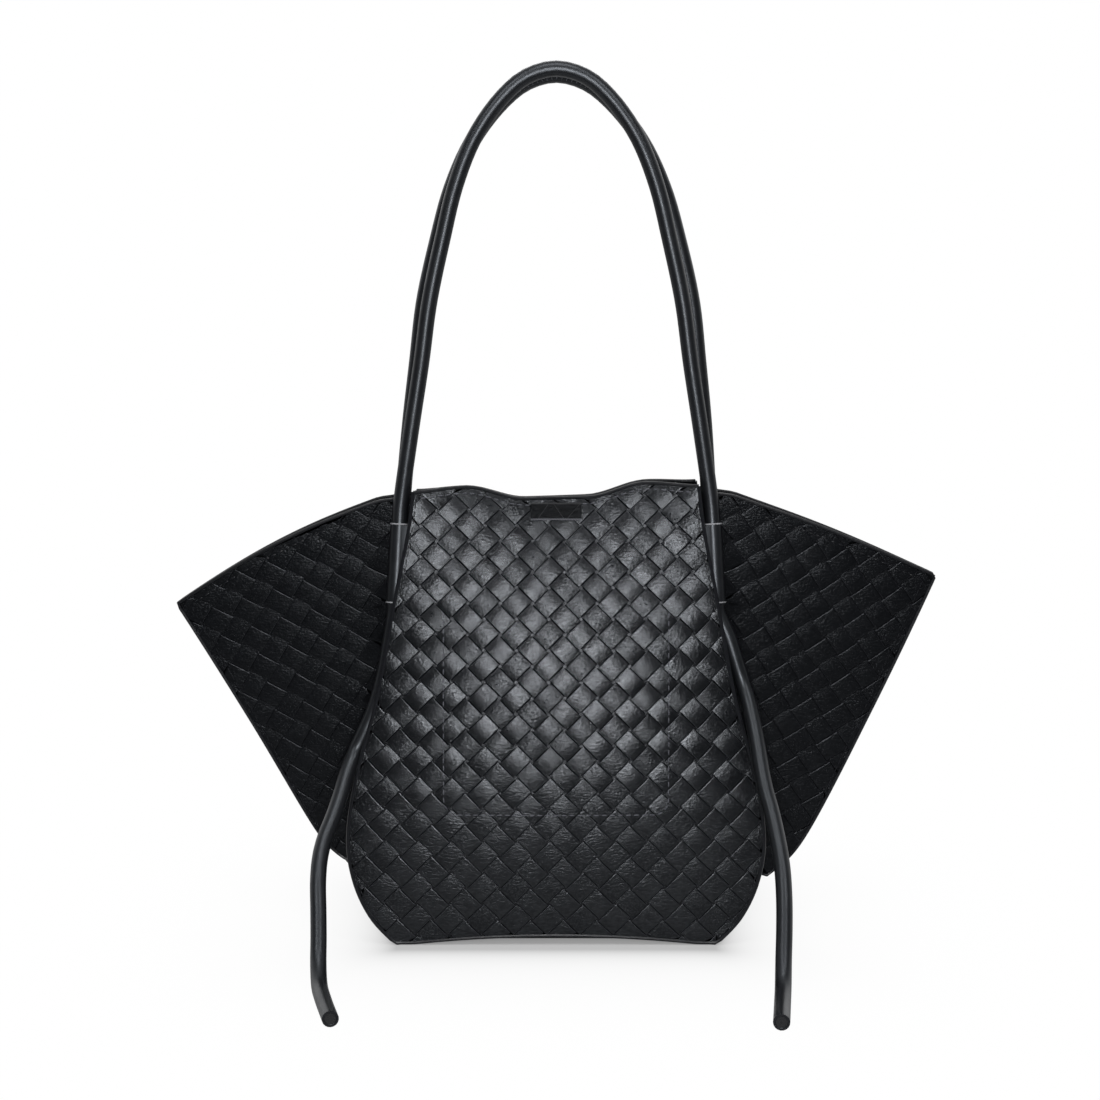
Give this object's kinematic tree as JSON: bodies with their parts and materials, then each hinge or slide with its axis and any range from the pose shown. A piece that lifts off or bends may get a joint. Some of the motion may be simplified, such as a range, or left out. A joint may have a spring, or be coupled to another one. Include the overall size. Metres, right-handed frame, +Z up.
{
  "type": "tote bag",
  "caption": "Black woven leather tote bag with folded-out side gussets, rolled cord handles that run through seam sleeves, and free hanging cord tails.",
  "frame": {"origin": "on the floor under the middle of the base", "axes": "+Z up, +X to the viewer's right, front panel at -Y"},
  "size_m": [0.46, 0.2979, 0.5237],
  "materials": {
    "woven_leather": "semi-gloss, fine grain, flat strips woven over and under",
    "smooth_leather": "semi-matte smooth",
    "cord_leather": "semi-gloss, rolled and edge-stitched",
    "lining_cloth": "matte woven cloth",
    "magnet_steel": "plated",
    "base_board": "matte stiffener board"
  },
  "bodies": {
    "bag": {"front_panel": "woven_leather", "rear_panel": "woven_leather", "base_panel": "woven_leather", "left_gusset_front": "woven_leather", "left_gusset_rear": "woven_leather", "right_gusset_front": "woven_leather", "right_gusset_rear": "woven_leather", "front_facing": "smooth_leather", "rear_facing": "smooth_leather", "front_magnet": "magnet_steel", "rear_magnet": "magnet_steel", "front_magnet_cover": "smooth_leather", "rear_magnet_cover": "smooth_leather", "front_lining": "lining_cloth", "rear_lining": "lining_cloth", "base_lining": "lining_cloth", "base_board": "base_board", "slip_pocket": "lining_cloth", "left_sleeve_front": "cord_leather", "left_sleeve_rear": "cord_leather", "right_sleeve_front": "cord_leather", "right_sleeve_rear": "cord_leather", "left_tail_front": "cord_leather", "left_tail_rear": "cord_leather", "right_tail_front": "cord_leather", "right_tail_rear": "cord_leather"},
    "front_handle": {"front_handle": "cord_leather"},
    "rear_handle": {"rear_handle": "cord_leather"},
    "left_wing": {"left_wing_front": "woven_leather", "left_wing_rear": "woven_leather"},
    "right_wing": {"right_wing_front": "woven_leather", "right_wing_rear": "woven_leather"}
  },
  "joints": [
    {"name": "front_handle_swing", "type": "hinge", "parent": "bag", "child": "front_handle", "pos_m": [0, -0.02251, 0.2513], "axis": [1, 0, 0], "range_deg": [0, 155]},
    {"name": "rear_handle_swing", "type": "hinge", "parent": "bag", "child": "rear_handle", "pos_m": [0, 0.02251, 0.2513], "axis": [-1, 0, 0], "range_deg": [0, 155]},
    {"name": "right_wing_swing", "type": "hinge", "parent": "bag", "child": "right_wing", "pos_m": [0.12165, 0, 0.0325], "axis": [-0.063, 0, 0.998], "range_deg": [-25, 25], "stiffness_Nm_per_rad": 0.06},
    {"name": "left_wing_swing", "type": "hinge", "parent": "bag", "child": "left_wing", "pos_m": [-0.12165, 0, 0.0325], "axis": [-0.063, 0, -0.998], "range_deg": [-25, 25], "stiffness_Nm_per_rad": 0.06}
  ]
}
